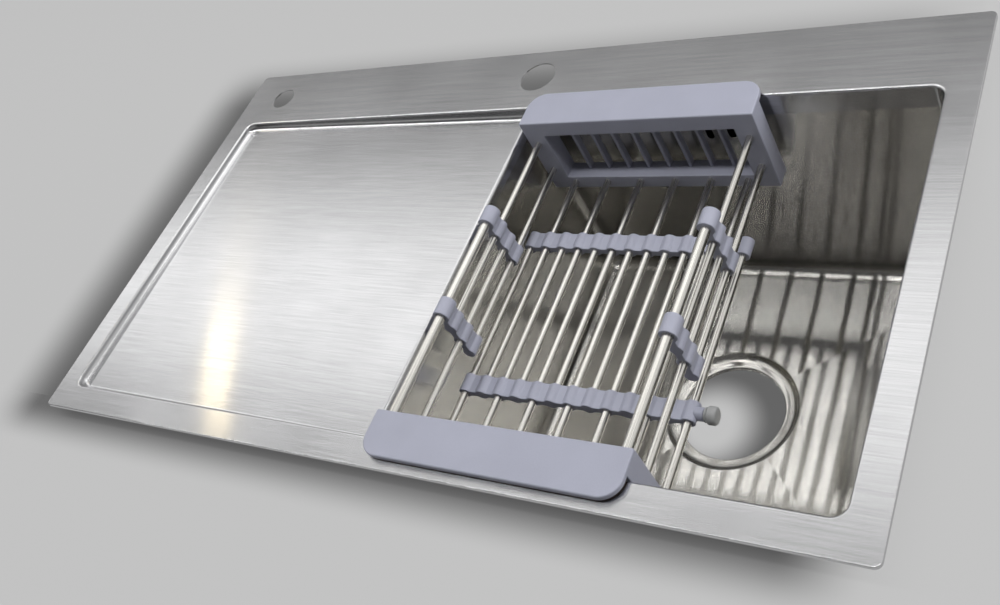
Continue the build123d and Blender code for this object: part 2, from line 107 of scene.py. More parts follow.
def brushed_steel(name, colour, shade, roughness, leans):
    """Belt-brushed sheet, brushed along X, or along Y on the end walls.

    The belt's marks are finer than a pixel, so they are drawn 0.8 mm wide. The grooves in them
    never show singly, but their slopes spread each reflection across the brushing.
    """
    material, tree = new_material(name)
    place = add(tree, "ShaderNodeTexCoord").outputs["Object"]
    normal = add(tree, "ShaderNodeNewGeometry").outputs["True Normal"]
    facing = add(tree, "ShaderNodeSeparateXYZ", {0: normal}).outputs["X"]
    sideways = add(tree, "ShaderNodeMath", {0: facing}, operation="ABSOLUTE").outputs[0]
    end_wall = add(
        tree, "ShaderNodeMath", {0: sideways, 1: end_wall_slope}, operation="GREATER_THAN"
    ).outputs[0]
    crosswise = add(
        tree,
        "ShaderNodeVectorRotate",
        {"Vector": place, "Angle": math.pi / 2},
        rotation_type="Z_AXIS",
    ).outputs[0]
    along = add(
        tree, "ShaderNodeMix", {0: end_wall, 4: place, 5: crosswise}, data_type="VECTOR"
    ).outputs[1]
    marks = []
    for length, width in ((grain_length, grain_width), (band_length, band_width)):
        stretch = (1 / length, 1 / width, 1 / width)
        drawn = add(tree, "ShaderNodeMapping", {"Vector": along, "Scale": stretch}).outputs[0]
        mark = add(tree, "ShaderNodeTexNoise", {"Vector": drawn, "Scale": 1.0, "Detail": 3.0})
        marks.append(mark.outputs["Fac"])
    brushing = add(
        tree, "ShaderNodeMath", {0: marks[1], 1: band_share, 2: marks[0]}, operation="MULTIPLY_ADD"
    ).outputs[0]
    share = add(
        tree,
        "ShaderNodeMapRange",
        {"Value": brushing, "From Min": grain_span[0], "From Max": grain_span[1]},
    ).outputs[0]
    tone = add(
        tree, "ShaderNodeMix", {0: share, 6: linear(shade), 7: linear(colour)}, data_type="RGBA"
    ).outputs[2]
    smudge = add(
        tree, "ShaderNodeTexNoise", {"Vector": place, "Scale": 1 / smudge_size, "Detail": 3.0}
    ).outputs["Fac"]
    handled = add(
        tree,
        "ShaderNodeMapRange",
        {
            "Value": smudge,
            "From Min": noise_span[0],
            "From Max": noise_span[1],
            "To Min": roughness + handling[0],
            "To Max": roughness + handling[1],
        },
    ).outputs[0]
    bump = add(tree, "ShaderNodeBump", {"Height": brushing, "Distance": grain_depth}).outputs[0]
    tangent = add(
        tree, "ShaderNodeMix", {0: end_wall, 4: (1, 0, 0), 5: (0, 1, 0)}, data_type="VECTOR"
    ).outputs[1]
    across = add(
        tree, "ShaderNodeVectorMath", {0: normal, 1: tangent}, operation="CROSS_PRODUCT"
    ).outputs[0]
    reach = add(
        tree, "ShaderNodeVectorMath", {0: place, 1: across}, operation="DOT_PRODUCT"
    ).outputs["Value"]
    slopes = []
    for pitch in groove_pitches:
        groove = add(tree, "ShaderNodeMath", {0: reach, 1: 1 / pitch}, operation="MULTIPLY")
        side = add(tree, "ShaderNodeMath", {0: groove.outputs[0]}, operation="FRACT")
        slopes.append(side.outputs[0])
    slope = add(tree, "ShaderNodeMath", {0: slopes[0], 1: slopes[1]}, operation="ADD").outputs[0]
    lean = add(
        tree,
        "ShaderNodeMapRange",
        {
            "Value": slope,
            "From Max": float(len(slopes)),
            "To Min": leans[0],
            "To Max": leans[1],
        },
    ).outputs[0]
    tilt = add(
        tree, "ShaderNodeVectorMath", {0: across, "Scale": lean}, operation="SCALE"
    ).outputs[0]
    tilted = add(tree, "ShaderNodeVectorMath", {0: bump, 1: tilt}).outputs[0]
    grooved = add(tree, "ShaderNodeVectorMath", {0: tilted}, operation="NORMALIZE").outputs[0]
    shader = add(
        tree,
        "ShaderNodeBsdfPrincipled",
        {
            "Base Color": tone,
            "Metallic": 1.0,
            "Roughness": handled,
            "Anisotropic": 1.0,
            "Anisotropic Rotation": 0.25,
            "Normal": grooved,
            "Tangent": tangent,
        },
    ).outputs[0]
    add(tree, "ShaderNodeOutputMaterial", {"Surface": shader})
    return material


def dress(material, *nodes):
    """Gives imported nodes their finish."""
    for name in nodes:
        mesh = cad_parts[name].data
        mesh.materials.clear()
        mesh.materials.append(material)


bowl_steel = brushed_steel(
    "satin stainless steel", bowl_colour, bowl_shade, bowl_roughness, bowl_lean
)
dress(bowl_steel, "bowl")

# Deck: the rim, tap ledge and drainer, pressed from one thicker sheet and welded to the bowl.
# The weld is ground flush and the whole top is brushed along its length in one pass.
deck_colour = "#CFCFD0"
deck_shade = "#C0C0C1"
deck_roughness = 0.165
deck_lean = (-0.02, 0.02)
deck_steel = brushed_steel(
    "brushed stainless steel", deck_colour, deck_shade, deck_roughness, deck_lean
)
dress(deck_steel, "deck")

# Overflow box: a moulded elbow clamped behind the bowl's slots, with a barbed tail for the hose.
# Plain black polypropylene with the dull grain of its mould.
box_colour = "#232426"
box_roughness = 0.5
mould_grain = 0.7 * mm
mould_grain_depth = 0.015 * mm
cloud_size = 30 * mm
mottle_span = (0.6, 1.4)
mottle_tones = (0.93, 1.05)


def moulded(name, colour, roughness):
    """Moulded plastic or rubber: an even colour with faint clouds and the grain of its mould.

    The real grain is finer than a pixel, so it is drawn 0.7 mm wide.
    """
    material, tree = new_material(name)
    place = add(tree, "ShaderNodeTexCoord").outputs["Object"]
    grain = add(
        tree, "ShaderNodeTexNoise", {"Vector": place, "Scale": 1 / mould_grain, "Detail": 2.0}
    ).outputs["Fac"]
    cloud = add(
        tree, "ShaderNodeTexNoise", {"Vector": place, "Scale": 1 / cloud_size, "Detail": 2.0}
    ).outputs["Fac"]
    mottle = add(tree, "ShaderNodeMath", {0: grain, 1: cloud}, operation="ADD").outputs[0]
    share = add(
        tree,
        "ShaderNodeMapRange",
        {
            "Value": mottle,
            "From Min": mottle_span[0],
            "From Max": mottle_span[1],
            "To Min": mottle_tones[0],
            "To Max": mottle_tones[1],
        },
    ).outputs[0]
    tone = add(
        tree, "ShaderNodeVectorMath", {0: linear(colour)[:3], "Scale": share}, operation="SCALE"
    ).outputs[0]
    bump = add(tree, "ShaderNodeBump", {"Height": grain, "Distance": mould_grain_depth}).outputs[0]
    shader = add(
        tree,
        "ShaderNodeBsdfPrincipled",
        {"Base Color": tone, "Roughness": roughness, "Normal": bump},
    ).outputs[0]
    add(tree, "ShaderNodeOutputMaterial", {"Surface": shader})
    return material


dress(moulded("black polypropylene", box_colour, box_roughness), "overflow_box")

# Drainer rails: two folded channels glued under the drainer so that it doesn't drum or sag.
# Hot-dip galvanised sheet, with the pale spangle of the zinc.
rail_colour = "#A9ADB0"
rail_shade = "#868B8F"
rail_roughness = 0.42
spangle_size = 7 * mm


def galvanised(name, colour, shade, roughness):
    """Zinc-coated steel with crystals that differ a little in tone."""
    material, tree = new_material(name)
    place = add(tree, "ShaderNodeTexCoord").outputs["Object"]
    crystals = add(tree, "ShaderNodeTexVoronoi", {"Vector": place, "Scale": 1 / spangle_size})
    share = add(tree, "ShaderNodeSeparateColor", {0: crystals.outputs["Color"]}).outputs[0]
    tone = add(
        tree, "ShaderNodeMix", {0: share, 6: linear(shade), 7: linear(colour)}, data_type="RGBA"
    ).outputs[2]
    shader = add(
        tree,
        "ShaderNodeBsdfPrincipled",
        {"Base Color": tone, "Metallic": 1.0, "Roughness": roughness},
    ).outputs[0]
    add(tree, "ShaderNodeOutputMaterial", {"Surface": shader})
    return material


dress(
    galvanised("galvanised steel", rail_colour, rail_shade, rail_roughness),
    "drainer_rail_front",
    "drainer_rail_back",
)

# Sound pads: sheets of filled bitumen pressed on the bowl's four walls while warm.
# Dark grey, dead matt and slightly pebbled.
pad_colour = "#3B3C3E"
matt_roughness = 0.85
pebble_size = 2.2 * mm
pebble_depth = 0.25 * mm


def pebbled(name, colour, size, depth):
    """Matt filled sheet with a pebbled skin."""
    material, tree = new_material(name)
    place = add(tree, "ShaderNodeTexCoord").outputs["Object"]
    pebbles = add(tree, "ShaderNodeTexVoronoi", {"Vector": place, "Scale": 1 / size})
    bump = add(
        tree, "ShaderNodeBump", {"Height": pebbles.outputs["Distance"], "Distance": depth}
    ).outputs[0]
    shader = add(
        tree,
        "ShaderNodeBsdfPrincipled",
        {"Base Color": linear(colour), "Roughness": matt_roughness, "Normal": bump},
    ).outputs[0]
    add(tree, "ShaderNodeOutputMaterial", {"Surface": shader})
    return material


dress(
    pebbled("bitumen sheet", pad_colour, pebble_size, pebble_depth),
    "sound_pad_front",
    "sound_pad_back",
    "sound_pad_left",
    "sound_pad_right",
)

# Rim seal: a ring of closed-cell foam tape stuck under the rim, squeezed against the worktop.
# Black, with the fine pores of cut foam.
seal_colour = "#1E1F20"
pore_size = 0.9 * mm
pore_depth = 0.2 * mm
dress(pebbled("closed-cell foam", seal_colour, pore_size, pore_depth), "rim_seal")

# Fixing clips: folded blocks welded under the rim, each with a hex screw and a toothed arm.
# Pressed steel with bright zinc plating; the screws carry a rolled metric thread.
zinc_colour = "#BFC3C6"
zinc_shade = "#A4A9AD"
zinc_roughness = 0.3
screw_r = 2.5 * mm
thread_pitch = 1.0 * mm
thread_depth = 0.45 * mm
thread_steps = 4
thread_sides = 20
head_r = 4.2 * mm
head_height = 3.5 * mm
head_edge = 0.35 * mm
side_x, side_y = 220 * mm, 197.65 * mm
end_x, end_y = 358.15 * mm, -24.5 * mm
merge_gap = 0.001 * mm
sharp_angle = math.radians(40)
clip_places = [(x, y, 0) for y in (-side_y, side_y) for x in (-side_x, side_x)]
clip_places += [(x, end_y, 0) for x in (-end_x, end_x)]
bright_zinc = galvanised("zinc-plated steel", zinc_colour, zinc_shade, zinc_roughness)
arm_names = [f"clip_arm_{i + 1}" for i in range(len(clip_places))]
dress(bright_zinc, "clip_blocks", *arm_names)


def evaluated_mesh(holder):
    """Mesh of an object with its modifiers applied; the object goes."""
    bpy.context.scene.collection.objects.link(holder)
    depsgraph = bpy.context.evaluated_depsgraph_get()
    mesh = bpy.data.meshes.new_from_object(holder.evaluated_get(depsgraph))
    bpy.data.objects.remove(holder)
    return mesh


def rounded_sheet(loops, thickness, edge):
    """Flat moulding with rounded edges, from closed XY loops: its outline and then its holes."""
    curve = bpy.data.curves.new("outline", "CURVE")
    curve.dimensions = "2D"
    curve.fill_mode = "BOTH"
    curve.extrude = thickness / 2 - edge
    curve.bevel_depth = edge
    curve.bevel_resolution = 2
    curve.offset = -edge
    for loop in loops:
        spline = curve.splines.new("POLY")
        spline.points.add(len(loop) - 1)
        for point, (x, y) in zip(spline.points, loop):
            point.co = (x, y, 0, 1)
        spline.use_cyclic_u = True
    mesh = evaluated_mesh(bpy.data.objects.new("outline", curve))
    shape = bmesh.new()
    shape.from_mesh(mesh)
    bmesh.ops.remove_doubles(shape, verts=shape.verts, dist=merge_gap)
    shape.to_mesh(mesh)
    shape.free()
    return mesh


def placed(mesh, centre, u=(1, 0, 0), v=(0, 1, 0)):
    """Moves a sheet so that its X lies along u, its Y along v and its middle at the centre."""
    across = Vector(u).cross(Vector(v))
    turn = Matrix((Vector(u), Vector(v), across)).transposed().to_4x4()
    mesh.transform(Matrix.Translation(centre) @ turn)
    return mesh


def carved(mesh, added=(), cut=()):
    """One skin from a mesh, the meshes added to it and the meshes cut from it."""
    base = bpy.data.objects.new("base", mesh)
    tools = []
    for operation, meshes in (("UNION", added), ("DIFFERENCE", cut)):
        for other in meshes:
            tool = bpy.data.objects.new("tool", other)
            bpy.context.scene.collection.objects.link(tool)
            tools.append(tool)
            step = base.modifiers.new(operation, "BOOLEAN")
            step.operation = operation
            step.solver = "EXACT"
            step.object = tool
    done = evaluated_mesh(base)
    for tool in tools:
        bpy.data.objects.remove(tool)
    return done


def on_circle(centre, radius, turn):
    """Point of a circle at an angle."""
    return (centre[0] + radius * math.cos(turn), centre[1] + radius * math.sin(turn))


def circle(radius, sides, centre=(0, 0)):
    """Points all round a circle."""
    return [on_circle(centre, radius, 2 * math.pi * i / sides) for i in range(sides)]


def threaded_bar(radius, z0, z1):
    """Upright bar with a rolled thread."""
    rings = int((z1 - z0) / thread_pitch * thread_steps)
    points = []
    for j in range(rings + 1):
        z = z0 + (z1 - z0) * j / rings
        for k in range(thread_sides):
            phase = (z / thread_pitch - k / thread_sides) % 1.0
            r = radius - thread_depth * abs(2 * phase - 1)
            points.append((*on_circle((0, 0), r, 2 * math.pi * k / thread_sides), z))
    faces = []
    for j in range(rings):
        for k in range(thread_sides):
            a = j * thread_sides + k
            b = j * thread_sides + (k + 1) % thread_sides
            faces.append((a, b, b + thread_sides, a + thread_sides))
    faces.append(tuple(reversed(range(thread_sides))))
    faces.append(tuple(range(rings * thread_sides, (rings + 1) * thread_sides)))
    mesh = bpy.data.meshes.new("thread")
    mesh.from_pydata(points, [], faces)
    return mesh


def node_group(name, inputs):
    """Geometry node group with named inputs and one geometry output."""
    group = bpy.data.node_groups.new(name, "GeometryNodeTree")
    for label, kind in inputs.items():
        group.interface.new_socket(label, in_out="INPUT", socket_type=kind)
    group.interface.new_socket("Geometry", in_out="OUTPUT", socket_type="NodeSocketGeometry")
    return group


def repeat(group, points, piece, material, turn=(0, 0, 0)):
    """Ends a node group: the piece at each point, made real and given its material."""
    copies = add(
        group,
        "GeometryNodeInstanceOnPoints",
        {"Points": points, "Instance": piece, "Rotation": turn},
    )
    real = add(group, "GeometryNodeRealizeInstances", {0: copies.outputs[0]})
    coated = add(group, "GeometryNodeSetMaterial", {0: real.outputs[0], "Material": material})
    add(group, "NodeGroupOutput", {0: coated.outputs[0]})


def grown(group, points, **values):
    """Mesh that a node group makes from points and the values of its named inputs."""
    mesh = bpy.data.meshes.new(group.name)
    mesh.from_pydata(points, [], [])
    holder = bpy.data.objects.new(group.name, mesh)
    modifier = holder.modifiers.new(group.name, "NODES")
    modifier.node_group = group
    for item in group.interface.items_tree:
        if item.in_out == "INPUT" and item.name in values:
            modifier[item.identifier] = values[item.name]
    return evaluated_mesh(holder)


def show(name, mesh, body, slot, *nodes):
    """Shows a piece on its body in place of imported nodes, with flat flats and soft edges."""
    piece = bpy.data.objects.new(name, mesh)
    bpy.context.scene.collection.objects.link(piece)
    mesh.shade_smooth()
    mesh.set_sharp_from_angle(angle=sharp_angle)
    even = piece.modifiers.new("even normals", "WEIGHTED_NORMAL")
    even.keep_sharp = True
    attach(piece, body)
    if nodes:
        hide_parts(*nodes)
    return piece


screw_low, screw_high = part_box("clip_screws")
head_z = screw_low.z + head_height / 2
hexagon = circle(head_r, 6)
head = placed(rounded_sheet([hexagon], head_height, head_edge), (0, 0, head_z))
thread = threaded_bar(screw_r, head_z, screw_high.z)
screw = bpy.data.objects.new("screw", carved(head, [thread]))
bpy.context.scene.collection.objects.link(screw)
screw_set = node_group(
    "one screw at each point",
    {"Points": "NodeSocketGeometry", "Screw": "NodeSocketObject", "Material": "NodeSocketMaterial"},
)
given = add(screw_set, "NodeGroupInput").outputs
model = add(screw_set, "GeometryNodeObjectInfo", {"Object": given["Screw"]})
repeat(screw_set, given["Points"], model.outputs["Geometry"], given["Material"])
screws = grown(screw_set, clip_places, Screw=screw, Material=bright_zinc)
bpy.data.objects.remove(screw)
show("clip_screws_threaded", screws, "sink", "zinc_steel", "clip_screws")

# Waste seat: the rolled shoulder and flat that the press leaves round the waste hole.
# The same satin steel as the bowl, worn smooth on its rounded edges.
seat_sides = 96
seat_place = (166.5 * mm, -9 * mm, -220 * mm)
seat_outline = [
    (61.0, 0.02),
    (60.4, 0.35),
    (59.4, 0.55),
    (58.3, 0.45),
    (57.2, -0.05),
    (56.1, -0.95),
    (55.1, -1.95),
    (53.9, -2.85),
    (52.2, -3.45),
    (49.5, -3.75),
    (46.4, -3.85),
    (45.6, -4.1),
    (45.25, -4.8),
    (45.25, -6.95),
    (52.4, -6.95),
    (54.6, -6.0),
    (57.75, 0.02),
]


def turned(outline, sides):
    """Closed solid turned about Z from a closed outline of radii and heights in millimetres."""
    points = []
    for k in range(sides):
        turn = 2 * math.pi * k / sides
        points += [(*on_circle((0, 0), r * mm, turn), z * mm) for r, z in outline]
    count = len(outline)
    faces = []
    for k in range(sides):
        for j in range(count):
            a, b = k * count, (k + 1) % sides * count
            faces.append((a + j, a + (j + 1) % count, b + (j + 1) % count, b + j))
    mesh = bpy.data.meshes.new("turned")
    mesh.from_pydata(points, [], faces)
    shape = bmesh.new()
    shape.from_mesh(mesh)
    bmesh.ops.remove_doubles(shape, verts=shape.verts, dist=merge_gap)
    bmesh.ops.recalc_face_normals(shape, faces=shape.faces)
    shape.to_mesh(mesh)
    shape.free()
    return mesh


seat = placed(turned(seat_outline, seat_sides), seat_place)
seat.materials.append(bowl_steel)
show("waste_seat", seat, "sink", "brushed_stainless")

# Basket rods: two telescoping halves of drawn stainless rod, the top pair thicker than the rest.
# Polished to a soft gloss, so that each rod shows the bright room as one pale line along it. Its
# drawing marks are finer than a pixel and are drawn 0.6 mm wide.
rod_colour = "#D6D4CE"
rod_roughness = (0.24, 0.3)
draw_width = 0.6 * mm
draw_length = 45 * mm
rod_sides = 32

rod_steel, tree = new_material("polished stainless rod")
place = add(tree, "ShaderNodeTexCoord").outputs["Object"]
stretch = (1 / draw_width, 1 / draw_length, 1 / draw_width)
drawn = add(tree, "ShaderNodeMapping", {"Vector": place, "Scale": stretch}).outputs[0]
lines = add(tree, "ShaderNodeTexNoise", {"Vector": drawn, "Scale": 1.0, "Detail": 2.0})
worn = add(
    tree,
    "ShaderNodeMapRange",
    {
        "Value": lines.outputs["Fac"],
        "From Min": noise_span[0],
        "From Max": noise_span[1],
        "To Min": rod_roughness[0],
        "To Max": rod_roughness[1],
    },
).outputs[0]
shader = add(
    tree,
    "ShaderNodeBsdfPrincipled",
    {"Base Color": linear(rod_colour), "Metallic": 1.0, "Roughness": worn},
).outputs[0]
add(tree, "ShaderNodeOutputMaterial", {"Surface": shader})

rod_row = node_group(
    "row of rods",
    {
        "Count": "NodeSocketInt",
        "Start": "NodeSocketVector",
        "Pitch": "NodeSocketVector",
        "Radius": "NodeSocketFloat",
        "Length": "NodeSocketFloat",
        "Material": "NodeSocketMaterial",
    },
)
given = add(rod_row, "NodeGroupInput").outputs
line = add(
    rod_row,
    "GeometryNodeMeshLine",
    {"Count": given["Count"], "Start Location": given["Start"], "Offset": given["Pitch"]},
)
bar = add(
    rod_row,
    "GeometryNodeMeshCylinder",
    {"Vertices": rod_sides, "Radius": given["Radius"], "Depth": given["Length"]},
)
lying = (math.pi / 2, 0, 0)
repeat(rod_row, line.outputs[0], bar.outputs["Mesh"], given["Material"], lying)


def middle(node):
    """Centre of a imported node's box."""
    low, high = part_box(node)
    return (low + high) / 2


def joined(meshes):
    """Several separate shells in one mesh."""
    shape = bmesh.new()
    for mesh in meshes:
        shape.from_mesh(mesh)
    together = meshes[0].copy()
    shape.to_mesh(together)
    shape.free()
    return together


for half in ("front", "back"):
    nodes = [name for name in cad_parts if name.startswith(f"{half}_rod_")]
    bottom = sorted(name for name in nodes if "_bottom_" in name)
    rows = [bottom] + [[f"{half}_rod_left_{i}", f"{half}_rod_right_{i}"] for i in (1, 2)]
    meshes = []
    for row in rows:
        low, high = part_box(row[0])
        meshes.append(
            grown(
                rod_row,
                [],
                Count=len(row),
                Start=middle(row[0]),
                Pitch=middle(row[1]) - middle(row[0]),
                Radius=(high.x - low.x) / 2,
                Length=high.y - low.y,
                Material=rod_steel,
            )
        )
    show(f"{half}_rods", joined(meshes), f"basket_{half}", "polished_stainless", *nodes)

# End plates: a window frame with round-fronted ribs under a flange that hangs on the rim.
# One injection moulding each, in lavender-grey polypropylene, dull on top.
plastic_colour = "#A0A2B1"
plastic_roughness = 0.42
plate_thickness = 18 * mm
plate_edge = 0.9 * mm
plate_corner = 1.2 * mm
flange_thickness = 4.5 * mm
flange_corner = 16 * mm
flange_edge = 1.1 * mm
window_top = 16 * mm
window_height = 53 * mm
window_side = 19 * mm
rib_count = 8
rib_width = 3 * mm
rib_depth = 8 * mm
rib_round = 1.45 * mm
rib_root = 0.6 * mm
rib_steps = 6
grey_plastic = moulded("lavender-grey polypropylene", plastic_colour, plastic_roughness)


def rounded_rectangle(low, high, radii):
    """Points of a rectangle; radii go round from its lowest corner, anticlockwise."""
    corners = [(low[0], low[1]), (high[0], low[1]), (high[0], high[1]), (low[0], high[1])]
    inward = [(1, 1), (-1, 1), (-1, -1), (1, -1)]
    points = []
    for i, ((x, y), (dx, dy), r) in enumerate(zip(corners, inward, radii)):
        steps = max(4, int(r / mm))
        for j in range(steps + 1):
            turn = math.pi + (i + j / steps) * math.pi / 2
            points.append(on_circle((x + dx * r, y + dy * r), r, turn))
    return points


rib_row = node_group(
    "row of ribs",
    {
        "Count": "NodeSocketInt",
        "Start": "NodeSocketVector",
        "Pitch": "NodeSocketVector",
        "Width": "NodeSocketFloat",
        "Depth": "NodeSocketFloat",
        "Height": "NodeSocketFloat",
        "Round": "NodeSocketFloat",
        "Material": "NodeSocketMaterial",
    },
)
given = add(rib_row, "NodeGroupInput").outputs
line = add(
    rib_row,
    "GeometryNodeMeshLine",
    {"Count": given["Count"], "Start Location": given["Start"], "Offset": given["Pitch"]},
)
outline = add(
    rib_row,
    "GeometryNodeCurvePrimitiveQuadrilateral",
    {"Width": given["Width"], "Height": given["Depth"]},
)
soft = add(
    rib_row,
    "GeometryNodeFilletCurve",
    {"Curve": outline.outputs[0], "Count": rib_steps, "Radius": given["Round"]},
    mode="POLY",
)
top = add(rib_row, "ShaderNodeCombineXYZ", {"Z": given["Height"]})
upright = add(rib_row, "GeometryNodeCurvePrimitiveLine", {"End": top.outputs[0]})
rib = add(
    rib_row,
    "GeometryNodeCurveToMesh",
    {"Curve": upright.outputs[0], "Profile Curve": soft.outputs[0], "Fill Caps": True},
)
repeat(rib_row, line.outputs[0], rib.outputs[0], given["Material"])

for half, side in (("front", -1), ("back", 1)):
    low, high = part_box(f"{half}_end_plate")
    y_inner = low.y if side > 0 else high.y
    corners = [plate_corner] * 2 + [flange_corner] * 2
    if side < 0:
        corners.reverse()
    flange_loop = rounded_rectangle((low.x, low.y), (high.x, high.y), corners)
    flange = rounded_sheet([flange_loop], flange_thickness, flange_edge)
    placed(flange, (0, 0, high.z - flange_thickness / 2))
    window_low = (low.x + window_side, high.z - window_top - window_height)
    window_high = (high.x - window_side, high.z - window_top)
    frame_high = (high.x, high.z - flange_edge)
    frame_loop = rounded_rectangle((low.x, low.z), frame_high, [plate_corner] * 4)
    window_loop = rounded_rectangle(window_low, window_high, [plate_corner] * 4)
    wall = rounded_sheet([frame_loop, window_loop], plate_thickness, plate_edge)
    placed(wall, (0, y_inner + side * plate_thickness / 2, 0), v=(0, 0, 1))
    step = (window_high[0] - window_low[0]) / (rib_count + 1)
    ribs = grown(
        rib_row,
        [],
        Count=rib_count,
        Start=(
            window_low[0] + step,
            y_inner + side * (plate_thickness - rib_depth / 2),
            window_low[1] - rib_root,
        ),
        Pitch=(step, 0, 0),
        Width=rib_width,
        Depth=rib_depth,
        Height=window_height + 2 * rib_root,
        Round=rib_round,
        Material=grey_plastic,
    )
    plate = carved(wall, [flange, ribs])
    plate.materials.clear()
    plate.materials.append(grey_plastic)
    show(f"{half}_plate", plate, f"basket_{half}", "grey_plastic", f"{half}_end_plate")

# Flange pads: thin rubber sheets under the flanges, so that the basket doesn't scratch the rim.
# Dark brown-black natural rubber, seen only as a line under the flange's edge.
rubber_colour = "#2B1F1C"
rubber_roughness = 0.7
dress(
    moulded("brown-black rubber", rubber_colour, rubber_roughness),
    "front_flange_pad",
    "back_flange_pad",
)

# Strips and side clips: wavy mouldings of joined collars, in which one half's rods end and the
# other half's slide. The same lavender-grey plastic as the end plates.
strip_width = 16 * mm
strip_edge = 0.6 * mm
collar_wall = 2.5 * mm
top_collar_wall = 3 * mm
web_half = 3 * mm
web_fillet = 2.5 * mm
slide_clearance = 0.3 * mm
boss_r = 5 * mm
boss_bore_r = 2.1 * mm
boss_edge = 0.4 * mm
collar_steps = 10
fillet_steps = 4


def wavy_outline(places, radii):
    """Outline of a row of collars on a thinner web, with a fillet at each side of a collar."""
    upper = []
    last = len(places) - 1
    for i, (u, r) in enumerate(zip(places, radii)):
        reach = r + web_fillet
        rise = web_half + web_fillet
        run = math.sqrt(reach**2 - rise**2)
        lean = math.atan2(rise, run)
        start = math.pi if i == 0 else math.pi - lean
        end = 0 if i == last else lean
        if i > 0:
            for j in range(fillet_steps):
                turn = -math.pi / 2 + j / fillet_steps * (math.pi / 2 - lean)
                upper.append(on_circle((u - run, rise), web_fillet, turn))
        for j in range(collar_steps + 1):
            turn = start + (end - start) * j / collar_steps
            upper.append(on_circle((u, 0), r, turn))
        if i < last:
            for j in range(1, fillet_steps + 1):
                turn = math.pi + lean + j / fillet_steps * (math.pi / 2 - lean)
                upper.append(on_circle((u + run, rise), web_fillet, turn))
    return upper + [(u, -v) for u, v in reversed(upper[1:-1])]


def wavy_strip(places, rod_radii, walls, sliding):
    """Strip of collars, with a clear hole for each rod that slides in it."""
    loops = [wavy_outline(places, [r + wall for r, wall in zip(rod_radii, walls)])]
    for u, r, slides in zip(places, rod_radii, sliding):
        if slides:
            loops.append(circle(r + slide_clearance, rod_sides, (u, 0)))
    mesh = rounded_sheet(loops, strip_width, strip_edge)
    mesh.materials.append(grey_plastic)
    return mesh


bottom_rods = [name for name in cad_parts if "_rod_bottom_" in name]
bottom_rods.sort(key=lambda name: middle(name).x)
for half, other in (("front", "back"), ("back", "front")):
    strip_low, strip_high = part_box(f"{other}_strip")
    first = middle(bottom_rods[0])
    places = [middle(name).x - first.x for name in bottom_rods]
    radii = [first.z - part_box(name)[0].z for name in bottom_rods]
    slides = [not name.startswith(half) for name in bottom_rods]
    strip = wavy_strip(places, radii, [collar_wall] * len(places), slides)
    y_strip = (strip_low.y + strip_high.y) / 2
    placed(strip, (first.x, y_strip, first.z), v=(0, 0, 1))
    if other == "front":
        rod_side = first.x + places[-1] + radii[-1] + slide_clearance
        boss_length = strip_high.x - rod_side
        boss = rounded_sheet([circle(boss_r, rod_sides)], boss_length, boss_edge)
        bore = rounded_sheet([circle(boss_bore_r, rod_sides)], 2 * boss_length, boss_edge)
        boss_place = (rod_side + boss_length / 2, y_strip, first.z)
        for mesh in (boss, bore):
            placed(mesh, boss_place, u=(0, 1, 0), v=(0, 0, 1))
        strip = carved(strip, [boss], [bore])
    show(f"{other}_wavy_strip", strip, f"basket_{half}", "grey_plastic", f"{other}_strip")
    for edge in ("left", "right"):
        side_rods = [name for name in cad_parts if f"_rod_{edge}_" in name]
        side_rods.sort(key=lambda name: -middle(name).z)
        top = middle(side_rods[0])
        places = [top.z - middle(name).z for name in side_rods]
        radii = [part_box(name)[1].x - top.x for name in side_rods]
        walls = [top_collar_wall] + [collar_wall] * (len(places) - 1)
        slides = [not name.startswith(half) for name in side_rods]
        clip = wavy_strip(places, radii, walls, slides)
        node = f"{other}_{edge}_clip"
        placed(clip, (top.x, middle(node).y, top.z), u=(0, 0, -1), v=(1, 0, 0))
        show(f"{other}_{edge}_wavy_clip", clip, f"basket_{half}", "grey_plastic", node)

# Lock knob: a small finger knob on a stud that clamps the last rod.
# Neutral grey plastic, turned smooth, with a collar behind its rounded head.
knob_colour = "#A1A2A2"
knob_roughness = 0.4
knob_length = 9.0
stud_r = 2.0
knob_low, knob_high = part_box("lock_knob")
stud_start = knob_length - (knob_high.x - knob_low.x) / mm
axis = middle("lock_knob")
knob_outline = [
    (0.0, stud_start),
    (stud_r, stud_start),
    (stud_r, 0.0),
    (5.0, 0.0),
    (5.6, 0.4),
    (5.6, 1.4),
    (5.0, 1.8),
    (5.0, 2.3),
    (6.2, 2.6),
    (6.7, 3.2),
    (6.7, 7.0),
    (6.4, 8.1),
    (5.6, 8.8),
    (4.6, knob_length),
    (0.0, knob_length),
]
knob = turned(knob_outline, rod_sides)
knob.materials.append(moulded("neutral grey plastic", knob_colour, knob_roughness))
placed(knob, (knob_high.x - knob_length * mm, axis.y, axis.z), u=(0, 1, 0), v=(0, 0, 1))
show("lock_knob_smooth", knob, "lock_knob", "knob_plastic", "lock_knob")

# Floor: a wide sheet of matt card under the sink, pale all over.
# A painted shadow darkens it softly in a patch below the sink and to its left, where the sink keeps
# the light off.
floor_glow = 0.485
floor_albedo = 0.06
floor_half = 7.0
floor_gap = 0.5 * mm
shade_glow = 0.09
shade_left = (-862 * mm, -740 * mm)
shade_right = (310 * mm, 200 * mm)
shade_front = (-177 * mm, -118 * mm)
shade_back = (530 * mm, 410 * mm)


def card(name, corners, z, surface, tree, material):
    """Flat stage sheet with a finished surface."""
    add(tree, "ShaderNodeOutputMaterial", {"Surface": surface})
    mesh = bpy.data.meshes.new(name)
    mesh.from_pydata([(x, y, z) for x, y in corners], [], [tuple(range(len(corners)))])
    mesh.materials.append(material)
    sheet = bpy.data.objects.new(name, mesh)
    bpy.context.scene.collection.objects.link(sheet)
    return sheet


